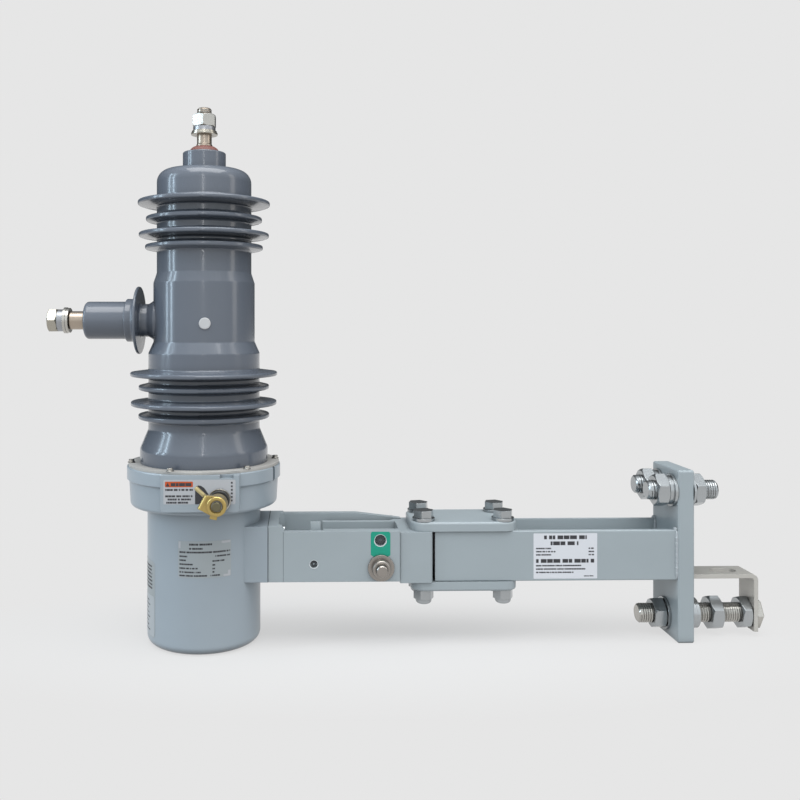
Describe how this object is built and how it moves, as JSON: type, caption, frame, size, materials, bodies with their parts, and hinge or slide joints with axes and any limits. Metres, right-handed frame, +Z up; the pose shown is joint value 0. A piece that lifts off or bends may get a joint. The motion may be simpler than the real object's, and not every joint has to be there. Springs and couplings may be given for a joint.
{
  "type": "capacitor switch",
  "caption": "Outdoor single-pole vacuum capacitor switch: shedded epoxy body with top and side terminals on a round drive tank with manual lever, bolted to a clamp arm and mounting plate.",
  "frame": {"origin": "centre of the tank's flat underside, on the tank axis", "axes": "+Z up the tank axis towards the top terminal, +X along the arm towards the mounting plate, -Y towards the operating lever"},
  "size_m": [0.7823, 0.2016, 0.5788],
  "materials": {
    "epoxy_grey": "glossy cast epoxy",
    "plug_white": "matte",
    "tank_paint": "semi-gloss paint on casting",
    "arm_paint": "semi-gloss paint",
    "tinned_stud": "tinned copper alloy",
    "stainless": "machined",
    "zinc": "zinc plated",
    "seal_red": "matte",
    "gasket_tan": "matte",
    "ceramic": "glazed",
    "copper": "bare copper",
    "rod_fibre": "varnished glass fibre",
    "spring_steel": "oiled",
    "magnet": "ground",
    "bush_black": "matte",
    "brass_cast": "cast"
  },
  "bodies": {
    "housing": {"insulator": "epoxy_grey", "mould_plug": "plug_white", "top_stud": "tinned_stud", "top_seal": "seal_red", "top_washers": "stainless", "top_spring_washer": "stainless", "top_nut": "stainless", "side_stud": "tinned_stud", "side_washers": "stainless", "side_spring_washer": "stainless", "side_bolt": "stainless", "bottle_shell": "ceramic", "bottle_caps": "stainless", "fixed_contact": "copper", "arc_shield": "stainless", "bellows": "stainless", "current_collar": "copper", "opening_spring": "spring_steel", "actuator_frame": "magnet", "coils": "copper", "magnet_ring": "magnet", "mechanism_plate": "zinc", "mechanism_screws": "zinc", "tank": "tank_paint", "flange_gasket": "gasket_tan", "flange_bolts": "stainless", "shaft_bush": "bush_black", "bush_ring": "stainless", "fork_arm": "arm_paint", "arm_screws": "zinc", "tongue": "arm_paint", "pin_bolt": "stainless", "pin_washer": "stainless", "pin_nut": "stainless", "pin_spacers": "stainless", "top_clamp_plate": "arm_paint", "bottom_clamp_plate": "arm_paint", "clamp_washers": "zinc", "clamp_bolts": "zinc", "clamp_nuts": "zinc", "support_arm": "arm_paint", "mounting_plate": "arm_paint", "upper_studs": "zinc", "plate_washers": "zinc", "plate_nuts": "zinc", "long_bolt": "stainless", "l_strap": "stainless"},
    "lever": {"lever_shaft": "stainless", "crank": "spring_steel", "lever_hub": "brass_cast", "lever_bolt": "zinc", "lever_pointer": "stainless"},
    "contact_drive": {"moving_contact": "copper", "pull_rod": "rod_fibre", "spring_cup": "spring_steel", "spring_retainer": "spring_steel", "contact_spring": "spring_steel", "drive_yoke": "spring_steel", "plunger": "magnet"}
  },
  "joints": [
    {"name": "lever_turn", "type": "hinge", "parent": "housing", "child": "lever", "pos_m": [0.0243, -0.08, 0.1658], "axis": [0, -1, 0], "range_deg": [0, 50]},
    {"name": "contact_slide", "type": "slide", "parent": "housing", "child": "contact_drive", "axis": [0, 0, -1], "range_m": [0, 0.00997], "deforming": ["bellows", "opening_spring"]}
  ],
  "couplings": [
    {"joint": "lever_turn", "follows": "contact_slide", "rad_per_m": 87.497}
  ]
}
